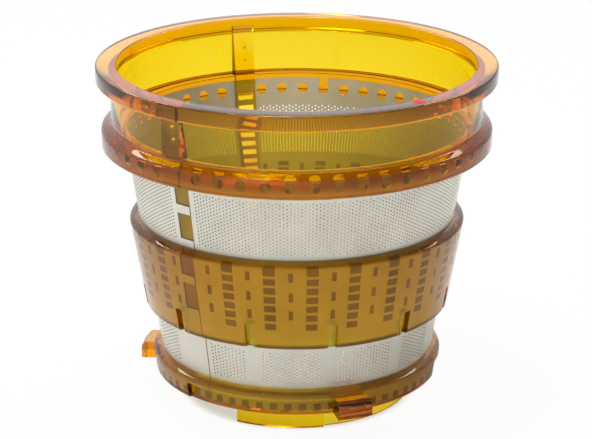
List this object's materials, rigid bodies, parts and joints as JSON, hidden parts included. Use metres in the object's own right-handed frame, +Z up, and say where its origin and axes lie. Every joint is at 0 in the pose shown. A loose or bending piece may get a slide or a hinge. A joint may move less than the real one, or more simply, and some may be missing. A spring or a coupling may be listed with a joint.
{
  "type": "juicer mesh screen",
  "caption": "Conical juicer strainer: a clear amber moulding of rim, rings and ribs cast around a rolled, finely perforated steel screen, with locking lugs and a foot neck.",
  "frame": {"origin": "on the strainer's axis, at the foot of the neck it stands on", "axes": "+Z up along the axis from the foot to the rim, -Y towards the pictured front, +X to its right"},
  "size_m": [0.124, 0.124, 0.107],
  "materials": {
    "amber_plastic": "clear amber, polished",
    "etched_steel": "finely perforated, satin",
    "red_mark": "satin"
  },
  "bodies": {
    "root": {"strainer_frame": "amber_plastic", "mesh_screen": "etched_steel", "alignment_mark": "red_mark"}
  },
  "joints": []
}
